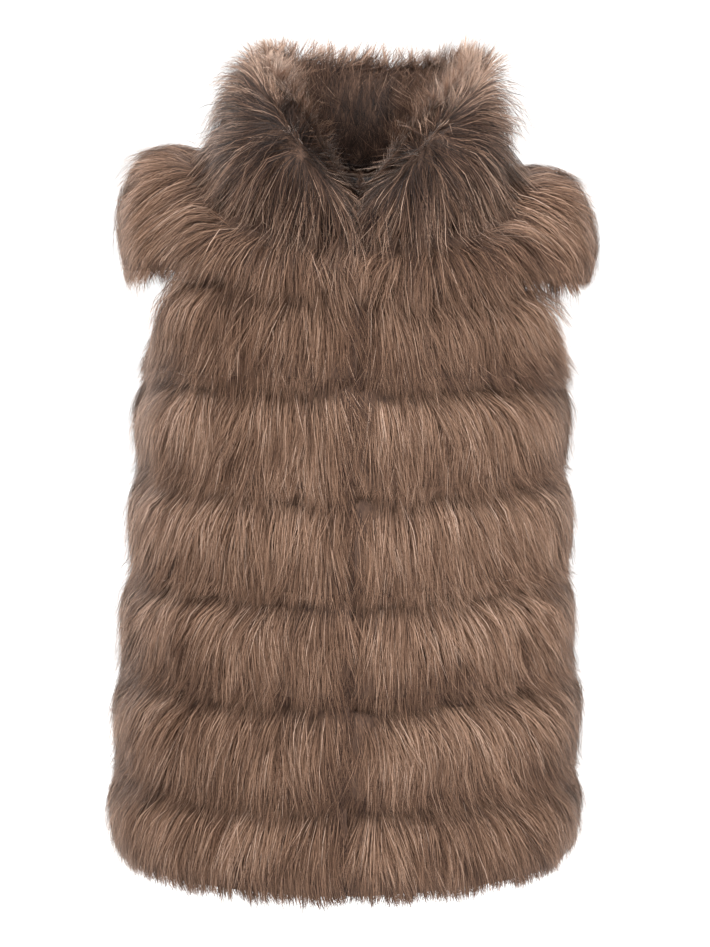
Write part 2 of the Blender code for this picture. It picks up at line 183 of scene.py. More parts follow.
# Hair of collar and yoke spreads from a crown on each side of the front, which is darker. Further back
# it falls from the collar's ridge.
Crown = namedtuple("Crown", "x y z")
RIGHT_CROWN = Crown(-0.037, -0.110, 0.024)
LEFT_CROWN = Crown(0.057, -0.115, 0.020)
CROWN_MIDDLE = 0.010
CROWN_AZIMUTHS = (70, 120)
CROWN_FALL = 0.35
CROWN_REACH = 0.050
CROWN_STAND = 0.6
CROWN_WANDER = 0.016
RIGHT_CROWN_DARK = 0.60
LEFT_CROWN_DARK = 0.40

# At the ridge, where the collar's layers meet, hair is denser, lightened with painted light, stands up
# and lies in all directions. It is longest at the top, and shorter and more upright at the right corner.
STAND_REACH = {"collar_outer": 0.016, "collar_inner": 0.009}
STAND_PAINTED_LIGHT = {"collar_outer": 0.34, "collar_inner": 0.45}
STAND_FROM = (-0.020, 0.015)
STAND_HEIGHTS = (0.0, 0.075)
STAND_LENGTH = 0.025
STAND_SHORTEST = 0.75
STAND_MORE = 5.5
STAND_MORE_HEIGHTS = (-0.035, 0.055)
STAND_FREE = 0.8
STAND_UP = 0.6
STAND_LEAN = 0.5
STAND_RUFFLE = 0.62
CORNER_AZIMUTHS = (-130, -100, -60, -40)
CORNER_SHORTER = 0.60
CORNER_UP = 0.7

# Locks are small bundles whose tips meet, tufts are larger groups of them. Strays aren't drawn in.
Bundle = namedtuple("Bundle", "cell pull_least pull_most power length_change turn_change tone_change")
LOCK = Bundle(0.0044, 0.0, 0.34, 1.2, 0.14, 0.14, 0.04)
TUFT = Bundle(0.028, 0.04, 0.34, 1.5, 0.22, 0.22, 0.06)
CELL_WARP = 0.6
STRAY_SHARE = 0.12
STRAY_LENGTH = 1.15
STRAY_HEIGHT = 0.009
STRAY_WIDTH = 0.7

# Tips end from a little inside the solid's face to a little outside it. Past an edge they hang free
# within a short distance of it, and no step draws a hair in by more than the most pull.
TIP_INSIDE = 0.006
TIP_OUTSIDE = 0.006
RISE_POWER = 0.75
HANG_FREE = 0.012
ON_FACE = 0.6
MOST_PULL = 0.004

# Hair ends within this reach of the box around the solids.
HAIR_REACH = np.array((0.020, 0.016, 0.029))
HAIR_BOX = (np.array(cad_box[0]) - HAIR_REACH, np.array(cad_box[1]) + HAIR_REACH)

# Width of a hair, with shares of it at the root and, on a hair of enough points, just before the tip.
HAIR_WIDTH = 0.00042
HAIR_WIDTH_SPREAD = 0.30
ROOT_WIDTH = 0.85
LAST_WIDTH = 0.80
LAST_WIDTH_POINTS = 4

# Differences between hairs in length and twist, and how a hair bends from point to point.
LENGTH_SPREAD = 0.16
HAIR_TWIST = 0.7
HAIR_WAVE = 0.0011
STIFFNESS = 0.7

# Shading of a hair: the share of the fur's own normal, and how far that leans outwards.
NORMAL_OF_FACE = 0.7
OUTWARD_NORMAL = 0.2

# Tone of a hair: how hairs and patches of them differ, and how it changes across a ribbon.
MIDDLE_TONE = 0.5
TONE_SPREAD = 0.20
TONE_PATCHES = 0.07
TONE_HALF_WIDTH = 0.004
TONE_LEAST = 0.02

# Reading the solids: how near faces count as touching or covered, and how far a face has to turn
# outwards or up to carry hair.
WELD = 0.00001
TOUCHING = 0.004
COVERED = 0.002
BARE_TURN = 0.12
YOKE_OUT = 0.6
YOKE_UP = 0.8
RIDGE_UP = 0.25
EDGE_BIN_DEGREES = 2.5
HIGH_BIN_DEGREES = 10

# Underfur lies under the fur's face by no more than a share of its thickness, which a ray from just
# under the face measures. A skin stands a little out of the solid, and ends under the collar's ridge.
RAY_START = 0.0005
UNDERFUR_THICKNESS_SHARE = 0.5
SKIN_WALL = 0.0012
SKIN_OUT = 0.0004
SKIN_UNDER_RIDGE = 0.018

# Materials
HAIR_ROUGHNESS = 0.6
HAIR_SPECULAR = 0.2
SHEEN_WEIGHT = 0.45
SHEEN_ROUGHNESS = 0.35
SHEEN_TINT = (1.0, 0.84, 0.74, 1)
NOISE_DETAIL = 5


def unit(vectors):
    """Vectors brought to length one."""
    return vectors / np.maximum(np.linalg.norm(vectors, axis=-1, keepdims=True), 1e-12)


def rising(values, span):
    """0 before the span, 1 after it, and a straight slope between."""
    return np.interp(values, span, (0, 1))


def fading(values, span):
    """1 before the span, 0 after it, and a straight slope between."""
    return np.interp(values, span, (1, 0))


def plateau(values, corners):
    """0 outside the four corners, 1 between the middle two, and straight slopes between."""
    return np.interp(values, corners, (0, 1, 1, 0))


def waves(field, places):
    """A smooth random field at the places, about -1 to 1, from a few sine waves."""
    rng = np.random.default_rng(field.seed)
    pitch = unit(rng.normal(size=(WAVE_COUNT, 3))) * rng.uniform(*WAVE_PITCHES, (WAVE_COUNT, 1))
    pitch = pitch * math.tau / field.wavelength
    phase = rng.uniform(0, math.tau, WAVE_COUNT)
    return np.sin(places @ pitch.T + phase).sum(axis=1) / math.sqrt(WAVE_COUNT / 2) / WAVE_SPREAD


def solid_arrays(name):
    """Welded points and triangles of a CAD node."""
    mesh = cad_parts[name].data
    mesh.calc_loop_triangles()
    points = np.empty(len(mesh.vertices) * 3)
    mesh.vertices.foreach_get("co", points)
    points = points.reshape(-1, 3)
    corners = np.empty(len(mesh.loop_triangles) * 3, dtype=np.int32)
    mesh.loop_triangles.foreach_get("vertices", corners)
    keys = np.round(points / WELD).astype(np.int64)
    _, first, welded = np.unique(keys, axis=0, return_index=True, return_inverse=True)
    return points[first], welded.reshape(-1)[corners].reshape(-1, 3)


SOLIDS = {name: solid_arrays(name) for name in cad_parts}
TREES = {
    name: BVHTree.FromPolygons(points.tolist(), triangles.tolist())
    for name, (points, triangles) in SOLIDS.items()
}


def distances(places, names):
    """How far each place is from the nearest of the named nodes."""
    nearest = np.full(len(places), np.inf)
    for name in names:
        found = [TREES[name].find_nearest(place)[3] for place in places.tolist()]
        nearest = np.minimum(nearest, found)
    return nearest


def face_facts(points, triangles):
    """Centre, unit normal and area of each triangle."""
    a, b, c = (points[triangles[:, i]] for i in range(3))
    cross = np.cross(b - a, c - a)
    return (a + b + c) / 3, unit(cross), np.linalg.norm(cross, axis=1) / 2


def outwards(places):
    """Level direction away from the neck axis."""
    return unit(places * (1, 1, 0))


def azimuths(places):
    """Degrees around the neck axis, from the front towards the wearer's left."""
    return np.degrees(np.arctan2(places[:, 0], -places[:, 1]))


def on_shoulder(places):
    """How far places are over a shoulder, 0 to 1."""
    return plateau(np.abs(azimuths(places)), SHOULDER_AZIMUTHS)


def from_closing(places):
    """How far each place is to the wearer's left of the line where the fronts meet."""
    return places[:, 0] - np.interp(places[:, 2], CLOSING_HEIGHTS, CLOSING_XS)


def over_low_edge(places):
    """How high each place is over the lowest place near its azimuth."""
    azimuth = azimuths(places)
    bins = np.floor(azimuth / EDGE_BIN_DEGREES).astype(int)
    kept = np.unique(bins)
    lows = [places[bins == b, 2].min() for b in kept]
    middles = [azimuth[bins == b].mean() for b in kept]
    return places[:, 2] - np.interp(azimuth, middles, lows)


def under_high_edge(places, points):
    """How far each place is under the highest of the points near its azimuth."""
    bins = np.floor(azimuths(points) / HIGH_BIN_DEGREES).astype(int)
    kept = np.unique(bins)
    highs = [points[bins == b, 2].max() for b in kept]
    return np.interp(azimuths(places), (kept + 0.5) * HIGH_BIN_DEGREES, highs) - places[:, 2]


def fur_kind(name):
    """Which row of FURS a node has."""
    return "band" if "_band_" in name else "yoke" if name in YOKES else name


def fur_slot(name):
    """Which slot a node's fur has."""
    return "collar_fur" if name in OTHER_LAYER else "taupe_fur"


def nodes_above(name):
    """Nodes whose fur lies over the top of this one."""
    kind = fur_kind(name)
    if kind == "yoke":
        return ["collar_outer"]
    if kind != "band":
        return []
    band, panel = name.split("_band_")
    rank = BANDS.index(band)
    return YOKES if rank == 0 else [f"{BANDS[rank - 1]}_band_{panel}"]


def bare_faces(name):
    """Marks the triangles of a node that lie against no other piece and so carry hair."""
    centres, normals, _ = face_facts(*SOLIDS[name])
    kind = fur_kind(name)
    if kind == "band":
        return (normals * outwards(centres)).sum(axis=1) > BARE_TURN
    if kind == "yoke":
        upward = outwards(centres) * YOKE_OUT + YOKE_UP * UP
        return (normals * upward).sum(axis=1) > BARE_TURN
    open_face = distances(centres, [OTHER_LAYER[name]] + YOKES) > TOUCHING
    return open_face | (normals[:, 2] > RIDGE_UP)


def smooth_normals(points, triangles, wanted):
    """Normal at each point from the wanted triangles around it."""
    _, normals, areas = face_facts(points, triangles)
    total = np.zeros_like(points)
    for corner in range(3):
        np.add.at(total, triangles[wanted, corner], normals[wanted] * areas[wanted, None])
    return unit(total)


BARE = {name: bare_faces(name) for name in FUR_NODES}
NORMALS = {name: smooth_normals(*SOLIDS[name], BARE[name]) for name in FUR_NODES}


def root_depths(name):
    """How far under a node's face the underfur ends, at each point of the node."""
    points, triangles = SOLIDS[name]
    depths = np.zeros(len(points))
    for index in np.unique(triangles[BARE[name]]):
        inward = -Vector(NORMALS[name][index])
        hit = TREES[name].ray_cast(Vector(points[index]) + inward * RAY_START, inward)
        thickness = hit[3] if hit[3] is not None else 0
        depths[index] = min(FURS[fur_kind(name)].depth, UNDERFUR_THICKNESS_SHARE * thickness)
    return depths


DEPTHS = {name: root_depths(name) for name in FUR_NODES}


def envelope():
    """A tree of all open fur faces with their normals, which the hairs follow."""
    points, faces, normals, offset = [], [], [], 0
    for name in FUR_NODES:
        node_points, triangles = SOLIDS[name]
        centres, node_normals, _ = face_facts(node_points, triangles)
        kept = BARE[name].copy()
        above = nodes_above(name)
        if above:
            kept &= distances(centres, above) > TOUCHING
        points.append(node_points)
        faces.append(triangles[kept] + offset)
        normals.append(node_normals[kept])
        offset += len(node_points)
    tree = BVHTree.FromPolygons(np.concatenate(points).tolist(), np.concatenate(faces).tolist())
    return tree, np.concatenate(normals)


ENVELOPE, ENVELOPE_NORMALS = envelope()


def new_material(name):
    """A new material with its node tree and main shader."""
    material = bpy.data.materials.new(name)
    material.use_nodes = True
    tree = material.node_tree
    return material, tree, tree.nodes["Principled BSDF"]


def ramp(tree, stops):
    """A colour ramp node with these stops of position and colour."""
    node = tree.nodes.new("ShaderNodeValToRGB")
    elements = node.color_ramp.elements
    while len(elements) < len(stops):
        elements.new(0.5)
    for element, (position, colour) in zip(elements, stops):
        element.position = position
        element.color = (*colour, 1)
    return node


def hair_material(name, stops, along_share):
    """Hair that grows lighter from root to tip, each hair lighter or darker by its tone, which holds painted
    light and shade as well as the hair's own colour.
    """
    material, tree, shader = new_material(name)
    coordinates = tree.nodes.new("ShaderNodeUVMap")
    coordinates.uv_map = "OFBake"
    parts = tree.nodes.new("ShaderNodeSeparateXYZ")
    tree.links.new(coordinates.outputs["UV"], parts.inputs["Vector"])
    along = tree.nodes.new("ShaderNodeMath")
    along.operation = "MULTIPLY_ADD"
    along.inputs[1].default_value = along_share
    along.inputs[2].default_value = -along_share / 2
    tree.links.new(parts.outputs["Y"], along.inputs[0])
    light = tree.nodes.new("ShaderNodeMath")
    light.operation = "ADD"
    tree.links.new(along.outputs["Value"], light.inputs[0])
    tree.links.new(parts.outputs["X"], light.inputs[1])
    colours = ramp(tree, stops)
    tree.links.new(light.outputs["Value"], colours.inputs["Fac"])
    tree.links.new(colours.outputs["Color"], shader.inputs["Base Color"])
    shader.inputs["Roughness"].default_value = HAIR_ROUGHNESS
    shader.inputs["Specular IOR Level"].default_value = HAIR_SPECULAR
    shader.inputs["Sheen Weight"].default_value = SHEEN_WEIGHT
    shader.inputs["Sheen Roughness"].default_value = SHEEN_ROUGHNESS
    shader.inputs["Sheen Tint"].default_value = SHEEN_TINT
    return material


def noise_material(name, dark, light, scale, stretch, roughness, bump, distance):
    """Colour and bump from one stretched noise, each end of the colour with its place on the noise."""
    material, tree, shader = new_material(name)
    place = tree.nodes.new("ShaderNodeTexCoord")
    mapping = tree.nodes.new("ShaderNodeMapping")
    mapping.inputs["Scale"].default_value = stretch
    noise = tree.nodes.new("ShaderNodeTexNoise")
    noise.inputs["Scale"].default_value = scale
    noise.inputs["Detail"].default_value = NOISE_DETAIL
    tree.links.new(place.outputs["Object"], mapping.inputs["Vector"])
    tree.links.new(mapping.outputs["Vector"], noise.inputs["Vector"])
    colours = ramp(tree, (dark, light))
    tree.links.new(noise.outputs["Fac"], colours.inputs["Fac"])
    tree.links.new(colours.outputs["Color"], shader.inputs["Base Color"])
    relief = tree.nodes.new("ShaderNodeBump")
    relief.inputs["Strength"].default_value = bump
    relief.inputs["Distance"].default_value = distance
    tree.links.new(noise.outputs["Fac"], relief.inputs["Height"])
    tree.links.new(relief.outputs["Normal"], shader.inputs["Normal"])
    shader.inputs["Roughness"].default_value = roughness
    return material


HAIR_MATERIALS = {
    "taupe_fur": hair_material(
        "taupe_hair",
        (
            (0.0, (0.024, 0.010, 0.006)),
            (0.25, (0.076, 0.037, 0.022)),
            (0.5, (0.174, 0.094, 0.057)),
            (0.75, (0.342, 0.206, 0.137)),
            (1.0, (0.580, 0.405, 0.310)),
        ),
        along_share=0.10,
    ),
    "collar_fur": hair_material(
        "collar_hair",
        (
            (0.0, (0.011, 0.005, 0.003)),
            (0.25, (0.034, 0.016, 0.010)),
            (0.5, (0.092, 0.047, 0.029)),
            (0.75, (0.232, 0.134, 0.088)),
            (1.0, (0.470, 0.318, 0.235)),
        ),
        along_share=0.40,
    ),
}
UNDERFUR = noise_material(
    "underfur",
    dark=(0.30, (0.036, 0.017, 0.010)),
    light=(0.70, (0.115, 0.061, 0.037)),
    scale=420,
    stretch=(1, 1, 0.12),
    roughness=0.9,
    bump=0.8,
    distance=0.002,
)
SKIN = noise_material(
    "pelt_skin",
    dark=(0.3, (0.10, 0.065, 0.045)),
    light=(0.7, (0.16, 0.11, 0.08)),
    scale=140,
    stretch=(1, 1, 1),
    roughness=0.85,
    bump=0.3,
    distance=0.001,
)
SATIN = noise_material(
    "black_satin",
    dark=(0.3, (0.010, 0.009, 0.009)),
    light=(0.7, (0.020, 0.018, 0.018)),
    scale=900,
    stretch=(1, 1, 0.05),
    roughness=0.34,
    bump=0.1,
    distance=0.0004,
)
WOVEN = noise_material(
    "woven_label",
    dark=(0.3, (0.014, 0.013, 0.013)),
    light=(0.7, (0.034, 0.031, 0.030)),
    scale=1500,
    stretch=(1, 0.1, 1),
    roughness=0.6,
    bump=0.4,
    distance=0.0003,
)


def placed(name, mesh, material):
    """An object on the root body that shows a mesh in a material."""
    mesh.materials.append(material)
    made = bpy.data.objects.new(name, mesh)
    bpy.context.scene.collection.objects.link(made)
    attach(made, "root")
    return made


def mesh_object(name, points, faces, material):
    """A smooth-shaded object on the root body from points and faces."""
    mesh = bpy.data.meshes.new(name)
    mesh.from_pydata(points.tolist(), [], faces.tolist())
    mesh.polygons.foreach_set("use_smooth", np.ones(len(mesh.polygons), dtype=bool))
    mesh.update()
    return placed(name, mesh, material)


def near_ridge(name, places):
    """How near places on a collar layer are to the ridge where it meets the other layer, 0 to 1."""
    return np.clip(1 - distances(places, [OTHER_LAYER[name]]) / STAND_REACH[name], 0, 1)


def roots(name, fur, rng):
    """Places, normals, depths and heights over the low edge of the hair roots on a node's bare faces."""
    points, triangles = SOLIDS[name]
    centres, _, areas = face_facts(points, triangles)
    weight = areas * BARE[name]
    if name in STAND_REACH:
        more = near_ridge(name, centres) * rising(centres[:, 2], STAND_MORE_HEIGHTS)
        weight = weight * (1 + STAND_MORE * more)
    count = int(fur.density * weight.sum())
    chosen = rng.choice(len(triangles), count, p=weight / weight.sum())
    first = np.sqrt(rng.random(count))
    second = rng.random(count)
    shares = np.stack((1 - first, first * (1 - second), first * second), axis=1)
    places = (points[triangles[chosen]] * shares[..., None]).sum(axis=1)
    normal = unit((NORMALS[name][triangles[chosen]] * shares[..., None]).sum(axis=1))
    depth = (DEPTHS[name][triangles[chosen]] * shares).sum(axis=1)
    height = over_low_edge(places)
    kept = np.ones(count, dtype=bool)
    above = nodes_above(name)
    if above:
        kept = distances(places, above) > COVERED
    return places[kept], normal[kept], depth[kept], height[kept]


def bundle_numbers(places, bundle, warp):
    """The number of the bundle each root belongs to, and how many bundles there are."""
    warped = places / bundle.cell + CELL_WARP * warp
    cells = np.floor(warped).astype(np.int64)
    _, numbers = np.unique(cells, axis=0, return_inverse=True)
    numbers = numbers.reshape(-1)
    return numbers, numbers.max() + 1


def gather(stations, shares, numbers, count, pull, power):
    """Draws the hairs of each bundle together towards their tips."""
    members = np.bincount(numbers, minlength=count)
    for step, share in enumerate(shares):
        sums = [np.bincount(numbers, stations[:, step, axis], count) for axis in range(3)]
        centre = np.stack([total / members for total in sums], axis=1)
        draw = (pull * share ** power)[:, None]
        stations[:, step] += (centre[numbers] - stations[:, step]) * draw


def settle(there, normal, target):
    """Moves points to a height over the nearest fur face, and turns their normals to it."""
    found = [ENVELOPE.find_nearest(place) for place in there.tolist()]
    gap = there - np.array([entry[0][:] for entry in found])
    face = ENVELOPE_NORMALS[np.array([entry[2] for entry in found])]
    height = (gap * face).sum(axis=1)
    distance = np.linalg.norm(gap, axis=1)
    on_face = np.abs(height) > ON_FACE * distance
    shift = np.where(on_face, target - height, -np.maximum(distance - HANG_FREE, 0))
    shift = np.maximum(shift, -MOST_PULL)
    direction = np.where(on_face[:, None], face, unit(gap))
    turned = unit(normal + np.where(on_face[:, None], face, 0))
    return there + direction * shift[:, None], turned


def overhang(name, places):
    """How far the tips may reach past the node's low edge."""
    kind = fur_kind(name)
    if kind == "yoke":
        right = np.interp(-places[:, 0], CAP_FROM, (FURS[kind].overhang, RIGHT_CAP_OVERHANG))
        left = np.interp(places[:, 0], LEFT_CAP_DISTANCES, LEFT_CAP_OVERHANGS)
        return np.where(places[:, 0] > 0, left, right)
    return HEM_OVERHANG if name.startswith("hem_band") else FURS[kind].overhang


def crowns(places):
    """The crown on the side of each place, moved about so that the hair doesn't meet in a point."""
    about = np.stack([waves(field, places) for field in CROWN_FIELDS], axis=1)
    return np.where(places[:, :1] > CROWN_MIDDLE, LEFT_CROWN, RIGHT_CROWN) + CROWN_WANDER * about


def crown_flow(places, normal, flow):
    """Turns the flow of the hair to spread from the crown on its side."""
    spread = unit(unit(places - crowns(places)) - CROWN_FALL * UP)
    spread -= normal * (spread * normal).sum(axis=1, keepdims=True)
    share = fading(np.abs(azimuths(places)), CROWN_AZIMUTHS)[:, None]
    return unit(flow * (1 - share) + unit(spread) * share)


def sweep(places):
    """Turn of the fall to the side, away from the middle of the front or back."""
    front = places[:, 1] < 0
    side = np.clip(places[:, 0] / SWEEP_REACH, -1, 1)
    amount = np.where(side > 0, LEFT_SWEEP, RIGHT_SWEEP)
    return np.where(front, side * np.abs(side) ** SWEEP_POWER * amount, -side * BACK_SWEEP)


def shade(places):
    """How much painted shade darkens bands and yoke: a painted shadow below the collar, and painted shade low
    down.
    """
    below = SHADE * rising(places[:, 2], SHADE_HEIGHTS)
    below *= fading(np.abs(places[:, 0]), SHADE_HALF_WIDTHS)
    return below + LOW_SHADE * fading(places[:, 2], LOW_SHADE_HEIGHTS)


def band_looks(name, places, height):
    """The painted shade on a band's hair, as a change in lightness, and how much further out its tips are, by
    place.
    """
    # Painted shade below the collar and low down, and towards each band's low edge.
    wave = TIER_SHADE_WAVE * waves(TIER_FIELD, places)
    tone = -shade(places) - TIER_SHADE * fading(height + wave, TIER_SHADE_HEIGHTS)
    tips = np.zeros(len(places))
    if name.startswith("chest_band"):
        tips += rising(places[:, 2], CHEST_SIDE_HEIGHTS) * rising(places[:, 0], CHEST_SIDE_FROM)
    return tone, CHEST_SIDE_OUT * tips


def yoke_looks(places, normal, stray):
    """The painted light and shade on the yoke's hair, as a change in lightness, and how much further out its
    tips are, by place.
    """
    on_cap = rising(np.abs(places[:, 0]), CAP_FROM)
    # Painted light on the right cap, painted shade on the left cap and below the collar.
    tone = np.where(places[:, 0] > 0, LEFT_CAP_PAINTED_SHADE, RIGHT_CAP_PAINTED_LIGHT) * on_cap - shade(places)
    tips = -(CAP_LOWER + CAP_TOP_LOWER * np.clip(normal[:, 2], 0, 1)) * on_cap
    tips -= STRAY_HEIGHT * (1 - CAP_STRAY_SHARE) * on_cap * stray
    beside = np.clip(1 - distances(places, ["collar_outer"]) / YOKE_RISE_REACH, 0, 1)
    tips += YOKE_RISE * (1 - SHOULDER_LOWER * on_shoulder(places)) * beside
    return tone, tips


# How hair stands, in shares from 0 to 1: on the ridge, upright, falling over the shoulder, and free of
# the fur's face.
Stance = namedtuple("Stance", "ridge upright falling free")


def collar_looks(name, places, height):
    """How much lighter a collar layer's hair is, by painted light and shade and by its darker crowns, how
    much further out, how much longer, and its stance.
    """
    azimuth = np.abs(azimuths(places))
    near = near_ridge(name, places)
    high = rising(places[:, 2], STAND_HEIGHTS)
    ridge = near * rising(places[:, 2], STAND_FROM)
    upright = ridge
    falling = np.zeros(len(places))
    # Painted light on the hair at the ridge.
    tone = STAND_PAINTED_LIGHT[name] * ridge * high
    standing = STAND_LENGTH * (STAND_SHORTEST + (1 - STAND_SHORTEST) * high)
    standing *= 1 - CORNER_SHORTER * plateau(azimuths(places), CORNER_AZIMUTHS)
    if name == "collar_inner":
        low = fading(places[:, 2], INNER_LOW_HEIGHTS) * fading(azimuth, INNER_LOW_AZIMUTHS)
        longer = 1 - (1 - INNER_LOW_LENGTH) * low
        standing *= longer
        tips = np.zeros(len(places))
        # Painted light lifts the neck's painted shade at the front and sides and near the top.
        tone += INNER_SIDE_PAINTED_LIGHT * fading(azimuth, INNER_SIDE_AZIMUTHS)
        tone += INNER_HIGH_PAINTED_LIGHT * rising(places[:, 2], INNER_HIGH_HEIGHTS)
    else:
        crown = np.clip(1 - np.linalg.norm(places - crowns(places), axis=1) / CROWN_REACH, 0, 1)
        dark = np.where(places[:, 0] > CROWN_MIDDLE, LEFT_CROWN_DARK, RIGHT_CROWN_DARK)
        tone -= dark * np.sqrt(crown)
        tips = -COLLAR_IN * rising(azimuth, COLLAR_IN_AZIMUTHS)
        upright = np.maximum(ridge, CROWN_STAND * crown)
        falling = SHOULDER_FALL * on_shoulder(places) * fading(height, SHOULDER_FALL_HEIGHTS)
        front = COLLAR_FRONT_LONGER * fading(azimuth, COLLAR_FRONT_AZIMUTHS)
        longer = 1 + front * (1 - near) * (1 - crown)
    longer *= 1 + (standing / FURS[name].length - 1) * upright
    free = np.maximum(np.maximum(STAND_FREE * near, falling), upright)
    return tone, tips, longer, Stance(ridge, upright, falling, free)


# What a hair grows from: its root's place, normal and depth, its length and turn, how high its tip ends
# over the fur's face, and the direction in which it stands where it is upright.
Growth = namedtuple("Growth", "places normal depth length turn tip_height stand")


def grow(kind, growth, stance, rng):
    """Points along the hairs, the normals there, and the share of the length that each point is at."""
    fur = FURS[kind]
    count = len(growth.places)
    shares = np.linspace(0, 1, fur.points)
    stations = np.empty((count, fur.points, 3))
    normals = np.empty_like(stations)
    ridge, upright, falling, free = (share[:, None] for share in stance)
    depth = growth.depth
    normal = growth.normal
    side = -1 if kind == "collar_inner" else 1
    lean = side * STAND_LEAN * outwards(growth.places)
    stations[:, 0] = growth.places - normal * depth[:, None]
    normals[:, 0] = unit(normal * (1 - ridge) + (lean + UP) * ridge)
    down = np.cos(growth.turn)[:, None]
    across = np.sin(growth.turn)[:, None]
    for step in range(1, fur.points):
        drop = fur.droop * (shares[step - 1] + shares[step]) / 2
        here = stations[:, step - 1]
        around = np.cross(UP, outwards(here))
        flow = unit(np.cross(around, normal))
        if kind in ("collar_outer", "yoke"):
            flow = crown_flow(here, normal, flow)
        flow = flow * down + np.cross(normal, flow) * across
        hang = around * across - UP * down
        heading = unit(flow * (1 - drop) + hang * drop)
        heading = unit(heading * (1 - upright) + growth.stand * upright)
        heading = unit(heading * (1 - falling) + (outwards(here) - UP) * falling)
        if step > 1:
            heading = unit(heading + STIFFNESS * before)
        before = heading
        there = here + heading * (growth.length * (shares[step] - shares[step - 1]))[:, None]
        there += rng.normal(0, HAIR_WAVE, (count, 3))
        target = -depth + (depth + growth.tip_height) * shares[step] ** RISE_POWER
        settled, normal = settle(there, normal, target)
        stations[:, step] = settled * (1 - free) + there * free
        lean = side * (OUTWARD_NORMAL + STAND_LEAN * ridge) * outwards(there)
        normals[:, step] = unit(normal * (1 - ridge) + lean + UP * ridge)
    return stations, normals, shares


def hair(name, number):
    """The hairs of one node as one mesh of ribbons."""
    kind = fur_kind(name)
    fur = FURS[kind]
    rng = np.random.default_rng(SEED + number)
    places, normal, depth, height = roots(name, fur, rng)
    count = len(places)
    warp = np.stack([waves(field, places) for field in BUNDLE_FIELDS], axis=1)
    groups = [(bundle, *bundle_numbers(places, bundle, warp)) for bundle in (LOCK, TUFT)]
    aside = from_closing(places)
    closing = np.clip(1 - np.abs(aside) / CLOSING_REACH, 0, 1) * (places[:, 1] < 0) * (kind == "band")

    turn = waves(TURN_FIELD, places) + FINE_TURN_SHARE * waves(FINE_TURN_FIELD, places)
    turn *= fur.wander
    if kind == "band":
        turn += sweep(places)
        turn -= np.sign(aside) * closing * CLOSING_TURN * rng.random(count)
    length = fur.length * (1 + rng.uniform(-LENGTH_SPREAD, LENGTH_SPREAD, count))
    contrast = COLLAR_CONTRAST if kind == "collar_outer" else 1
    # The fur's tone holds the inner collar's painted shade of the neck's hollow.
    tone = MIDDLE_TONE + fur.tone + contrast * rng.normal(0, TONE_SPREAD, count)
    # Random patches of tone, and painted shade in the valley where the fronts meet.
    tone += contrast * TONE_PATCHES * waves(TONE_FIELD, places) - CLOSING_PAINTED_SHADE * closing ** 2
    pulls = []
    past = np.ones(count)
    for bundle, numbers, size in groups:
        change = 1 + rng.uniform(-bundle.length_change, bundle.length_change, size)[numbers]
        length *= change
        past *= change
        turn += fur.ruffle * rng.uniform(-bundle.turn_change, bundle.turn_change, size)[numbers]
        tone += contrast * rng.uniform(-bundle.tone_change, bundle.tone_change, size)[numbers]
        pulls.append(rng.uniform(bundle.pull_least, bundle.pull_most, size)[numbers])
    stray = rng.random(count) < STRAY_SHARE
    length[stray] *= STRAY_LENGTH
    tip_height = rng.uniform(-TIP_INSIDE, TIP_OUTSIDE, count) + STRAY_HEIGHT * stray
    tip_height -= CLOSING_SINK * closing ** 2

    stance = Stance(*np.zeros((4, count)))
    if kind == "band":
        lighter, further = band_looks(name, places, height)
    elif kind == "yoke":
        lighter, further = yoke_looks(places, normal, stray)
    else:
        lighter, further, longer, stance = collar_looks(name, places, height)
        length *= longer
    # Painted light and shade by place, and the darker crowns.
    tone += lighter
    tip_height += further
    if kind == "collar_inner":
        tip_height += INNER_LOFT * rng.random(count)
    if fur.overhang:
        past *= rng.uniform(SHORTEST_PAST[kind], 1, count) * overhang(name, places)
        past *= 1 + PAST_WAVE * waves(PAST_FIELD, places)
        length = np.minimum(length, height + past + depth)
    _, locks, lock_count = groups[0]
    ruffle = rng.normal(0, STAND_RUFFLE, (lock_count, 3))[locks]
    corner = plateau(azimuths(places), CORNER_AZIMUTHS)[:, None]
    stand = unit(normal * (1 - CORNER_UP * corner) + STAND_UP * UP + ruffle)

    growth = Growth(places, normal, depth, length, turn, tip_height, stand)
    stations, normals, shares = grow(kind, growth, stance, rng)
    loose = stations[stray].copy()
    for (bundle, numbers, size), pull in zip(reversed(groups), reversed(pulls)):
        gather(stations, shares, numbers, size, pull, bundle.power)
    stations[stray] = loose
    stations = np.clip(stations, *HAIR_BOX)

    twist = rng.uniform(-HAIR_TWIST, HAIR_TWIST, count)[:, None]
    width = HAIR_WIDTH * (1 + rng.uniform(-HAIR_WIDTH_SPREAD, HAIR_WIDTH_SPREAD, count))
    width[stray] *= STRAY_WIDTH
    slot = fur_slot(name)
    made = ribbons(f"hair_{name}", stations, normals, shares, twist, width, tone, HAIR_MATERIALS[slot])
    return made


